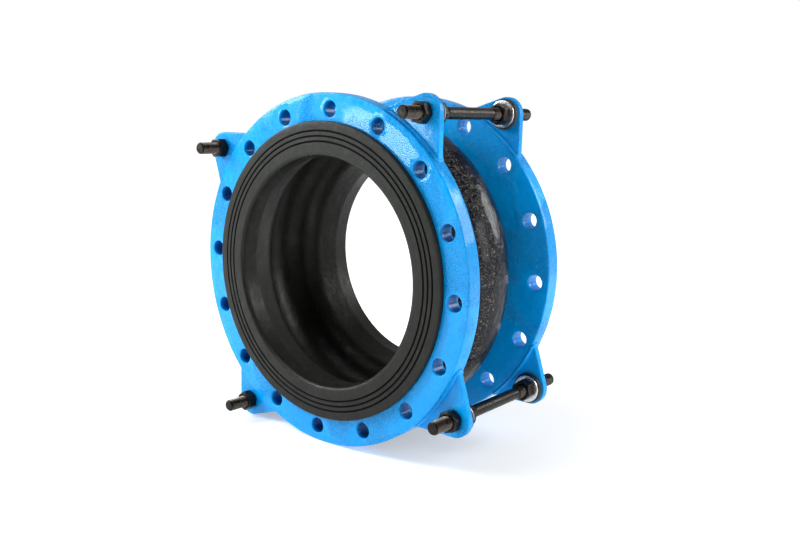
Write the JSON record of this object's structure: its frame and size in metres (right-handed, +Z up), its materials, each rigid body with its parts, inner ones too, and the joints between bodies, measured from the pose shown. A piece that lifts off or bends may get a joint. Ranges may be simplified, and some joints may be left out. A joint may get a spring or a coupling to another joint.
{
  "type": "rubber expansion joint",
  "caption": "Flanged single-arch rubber expansion joint with loose steel flanges, welded ears and tie rods, for pipelines.",
  "frame": {"origin": "bottom centre of the bounding box, on the floor under the middle of the joint", "axes": "+Y along the pipe axis from the front flange to the rear flange, +Z up, +X to the right seen from the front flange"},
  "size_m": [0.5649, 0.33, 0.565],
  "materials": {
    "blue_paint": "gloss azure enamel",
    "black_rubber": "moulded, satin",
    "cushion_rubber": "matte",
    "cord_fabric": "woven cord",
    "bead_wire": "bright wire",
    "zinc_plate": "zinc plated",
    "nut_black_oxide": "oiled black oxide",
    "rod_black_oxide": "oiled black oxide"
  },
  "bodies": {
    "front_flange": {"front_flange": "blue_paint", "front_bead_core": "bead_wire", "front_lug_1": "blue_paint", "front_lug_2": "blue_paint", "front_lug_3": "blue_paint", "front_lug_4": "blue_paint"},
    "rubber_liner": {"inner_liner": "black_rubber"},
    "rubber_cover": {"cord_plies": "cord_fabric", "outer_cover": "black_rubber"},
    "rear_flange": {"rear_flange": "blue_paint", "rear_bead_core": "bead_wire", "rear_lug_1": "blue_paint", "rear_lug_2": "blue_paint", "rear_lug_3": "blue_paint", "rear_lug_4": "blue_paint"},
    "front_cushion_1": {"front_cushion_1": "cushion_rubber"},
    "tie_rod_1": {"tie_rod_1": "rod_black_oxide", "front_nuts_1": "nut_black_oxide", "front_washer_1": "zinc_plate"},
    "rear_washers_1": {"rear_washer_1": "zinc_plate", "rear_cushion_1": "cushion_rubber"},
    "rear_inner_nut_1": {"rear_inner_nut_1": "nut_black_oxide"},
    "rear_outer_nut_1": {"rear_outer_nut_1": "nut_black_oxide"},
    "front_cushion_2": {"front_cushion_2": "cushion_rubber"},
    "tie_rod_2": {"tie_rod_2": "rod_black_oxide", "front_nuts_2": "nut_black_oxide", "front_washer_2": "zinc_plate"},
    "rear_washers_2": {"rear_washer_2": "zinc_plate", "rear_cushion_2": "cushion_rubber"},
    "rear_inner_nut_2": {"rear_inner_nut_2": "nut_black_oxide"},
    "rear_outer_nut_2": {"rear_outer_nut_2": "nut_black_oxide"},
    "front_cushion_3": {"front_cushion_3": "cushion_rubber"},
    "tie_rod_3": {"tie_rod_3": "rod_black_oxide", "front_nuts_3": "nut_black_oxide", "front_washer_3": "zinc_plate"},
    "rear_washers_3": {"rear_washer_3": "zinc_plate", "rear_cushion_3": "cushion_rubber"},
    "rear_inner_nut_3": {"rear_inner_nut_3": "nut_black_oxide"},
    "rear_outer_nut_3": {"rear_outer_nut_3": "nut_black_oxide"},
    "front_cushion_4": {"front_cushion_4": "cushion_rubber"},
    "tie_rod_4": {"tie_rod_4": "rod_black_oxide", "front_nuts_4": "nut_black_oxide", "front_washer_4": "zinc_plate"},
    "rear_washers_4": {"rear_washer_4": "zinc_plate", "rear_cushion_4": "cushion_rubber"},
    "rear_inner_nut_4": {"rear_inner_nut_4": "nut_black_oxide"},
    "rear_outer_nut_4": {"rear_outer_nut_4": "nut_black_oxide"}
  },
  "joints": [
    {"name": "lateral_x", "type": "slide", "parent": "front_flange", "child": "rubber_liner", "axis": [1, 0, 0], "range_m": [-0.012, 0.012], "stiffness_N_per_m": 300000, "deforming": ["inner_liner"]},
    {"name": "axial", "type": "slide", "parent": "rubber_liner", "child": "rubber_cover", "axis": [0, 1, 0], "range_m": [-0.025, 0.016], "deforming": ["cord_plies", "outer_cover"]},
    {"name": "lateral_z", "type": "slide", "parent": "rubber_cover", "child": "rear_flange", "axis": [0, 0, 1], "range_m": [-0.012, 0.012], "stiffness_N_per_m": 300000},
    {"name": "rod_swing_x_1", "type": "hinge", "parent": "front_flange", "child": "front_cushion_1", "pos_m": [0.18867, -0.108, 0.53599], "axis": [0, 0, 1], "range_deg": [-3.3, 3.3], "deforming": ["front_cushion_1"]},
    {"name": "rod_swing_z_1", "type": "hinge", "parent": "front_cushion_1", "child": "tie_rod_1", "pos_m": [0.18867, -0.108, 0.53599], "axis": [1, 0, 0], "range_deg": [-3.3, 3.3]},
    {"name": "rod_slide_1", "type": "slide", "parent": "tie_rod_1", "child": "rear_washers_1", "axis": [0, 1, 0], "range_m": [-0.025, 0.016], "deforming": ["rear_cushion_1"]},
    {"name": "inner_nut_turn_1", "type": "hinge", "parent": "rear_washers_1", "child": "rear_inner_nut_1", "pos_m": [0.18867, 0.0805, 0.53599], "axis": [0, 1, 0], "range_deg": [-3601, 2305]},
    {"name": "outer_nut_turn_1", "type": "hinge", "parent": "rear_washers_1", "child": "rear_outer_nut_1", "pos_m": [0.18867, 0.1206, 0.53599], "axis": [0, 1, 0], "range_deg": [-3601, 2305]},
    {"name": "rod_swing_x_2", "type": "hinge", "parent": "front_flange", "child": "front_cushion_2", "pos_m": [0.25349, -0.108, 0.09383], "axis": [0, 0, 1], "range_deg": [-3.3, 3.3], "deforming": ["front_cushion_2"]},
    {"name": "rod_swing_z_2", "type": "hinge", "parent": "front_cushion_2", "child": "tie_rod_2", "pos_m": [0.25349, -0.108, 0.09383], "axis": [1, 0, 0], "range_deg": [-3.3, 3.3]},
    {"name": "rod_slide_2", "type": "slide", "parent": "tie_rod_2", "child": "rear_washers_2", "axis": [0, 1, 0], "range_m": [-0.025, 0.016], "deforming": ["rear_cushion_2"]},
    {"name": "inner_nut_turn_2", "type": "hinge", "parent": "rear_washers_2", "child": "rear_inner_nut_2", "pos_m": [0.25349, 0.0805, 0.09383], "axis": [0, 1, 0], "range_deg": [-3601, 2305]},
    {"name": "outer_nut_turn_2", "type": "hinge", "parent": "rear_washers_2", "child": "rear_outer_nut_2", "pos_m": [0.25349, 0.1206, 0.09383], "axis": [0, 1, 0], "range_deg": [-3601, 2305]},
    {"name": "rod_swing_x_3", "type": "hinge", "parent": "front_flange", "child": "front_cushion_3", "pos_m": [-0.18867, -0.108, 0.02901], "axis": [0, 0, 1], "range_deg": [-3.3, 3.3], "deforming": ["front_cushion_3"]},
    {"name": "rod_swing_z_3", "type": "hinge", "parent": "front_cushion_3", "child": "tie_rod_3", "pos_m": [-0.18867, -0.108, 0.02901], "axis": [1, 0, 0], "range_deg": [-3.3, 3.3]},
    {"name": "rod_slide_3", "type": "slide", "parent": "tie_rod_3", "child": "rear_washers_3", "axis": [0, 1, 0], "range_m": [-0.025, 0.016], "deforming": ["rear_cushion_3"]},
    {"name": "inner_nut_turn_3", "type": "hinge", "parent": "rear_washers_3", "child": "rear_inner_nut_3", "pos_m": [-0.18867, 0.0805, 0.02901], "axis": [0, 1, 0], "range_deg": [-3601, 2305]},
    {"name": "outer_nut_turn_3", "type": "hinge", "parent": "rear_washers_3", "child": "rear_outer_nut_3", "pos_m": [-0.18867, 0.1206, 0.02901], "axis": [0, 1, 0], "range_deg": [-3601, 2305]},
    {"name": "rod_swing_x_4", "type": "hinge", "parent": "front_flange", "child": "front_cushion_4", "pos_m": [-0.25349, -0.108, 0.47117], "axis": [0, 0, 1], "range_deg": [-3.3, 3.3], "deforming": ["front_cushion_4"]},
    {"name": "rod_swing_z_4", "type": "hinge", "parent": "front_cushion_4", "child": "tie_rod_4", "pos_m": [-0.25349, -0.108, 0.47117], "axis": [1, 0, 0], "range_deg": [-3.3, 3.3]},
    {"name": "rod_slide_4", "type": "slide", "parent": "tie_rod_4", "child": "rear_washers_4", "axis": [0, 1, 0], "range_m": [-0.025, 0.016], "deforming": ["rear_cushion_4"]},
    {"name": "inner_nut_turn_4", "type": "hinge", "parent": "rear_washers_4", "child": "rear_inner_nut_4", "pos_m": [-0.25349, 0.0805, 0.47117], "axis": [0, 1, 0], "range_deg": [-3601, 2305]},
    {"name": "outer_nut_turn_4", "type": "hinge", "parent": "rear_washers_4", "child": "rear_outer_nut_4", "pos_m": [-0.25349, 0.1206, 0.47117], "axis": [0, 1, 0], "range_deg": [-3601, 2305]}
  ],
  "couplings": [
    {"joint": "rod_swing_x_1", "follows": "lateral_x", "rad_per_m": -4.6948},
    {"joint": "rod_swing_z_1", "follows": "lateral_z", "rad_per_m": 4.6948},
    {"joint": "rod_slide_1", "follows": "axial", "ratio": 1},
    {"joint": "inner_nut_turn_1", "follows": "axial", "rad_per_m": 2513.3},
    {"joint": "outer_nut_turn_1", "follows": "axial", "rad_per_m": 2513.3},
    {"joint": "rod_swing_x_2", "follows": "lateral_x", "rad_per_m": -4.6948},
    {"joint": "rod_swing_z_2", "follows": "lateral_z", "rad_per_m": 4.6948},
    {"joint": "rod_slide_2", "follows": "axial", "ratio": 1},
    {"joint": "inner_nut_turn_2", "follows": "axial", "rad_per_m": 2513.3},
    {"joint": "outer_nut_turn_2", "follows": "axial", "rad_per_m": 2513.3},
    {"joint": "rod_swing_x_3", "follows": "lateral_x", "rad_per_m": -4.6948},
    {"joint": "rod_swing_z_3", "follows": "lateral_z", "rad_per_m": 4.6948},
    {"joint": "rod_slide_3", "follows": "axial", "ratio": 1},
    {"joint": "inner_nut_turn_3", "follows": "axial", "rad_per_m": 2513.3},
    {"joint": "outer_nut_turn_3", "follows": "axial", "rad_per_m": 2513.3},
    {"joint": "rod_swing_x_4", "follows": "lateral_x", "rad_per_m": -4.6948},
    {"joint": "rod_swing_z_4", "follows": "lateral_z", "rad_per_m": 4.6948},
    {"joint": "rod_slide_4", "follows": "axial", "ratio": 1},
    {"joint": "inner_nut_turn_4", "follows": "axial", "rad_per_m": 2513.3},
    {"joint": "outer_nut_turn_4", "follows": "axial", "rad_per_m": 2513.3}
  ]
}
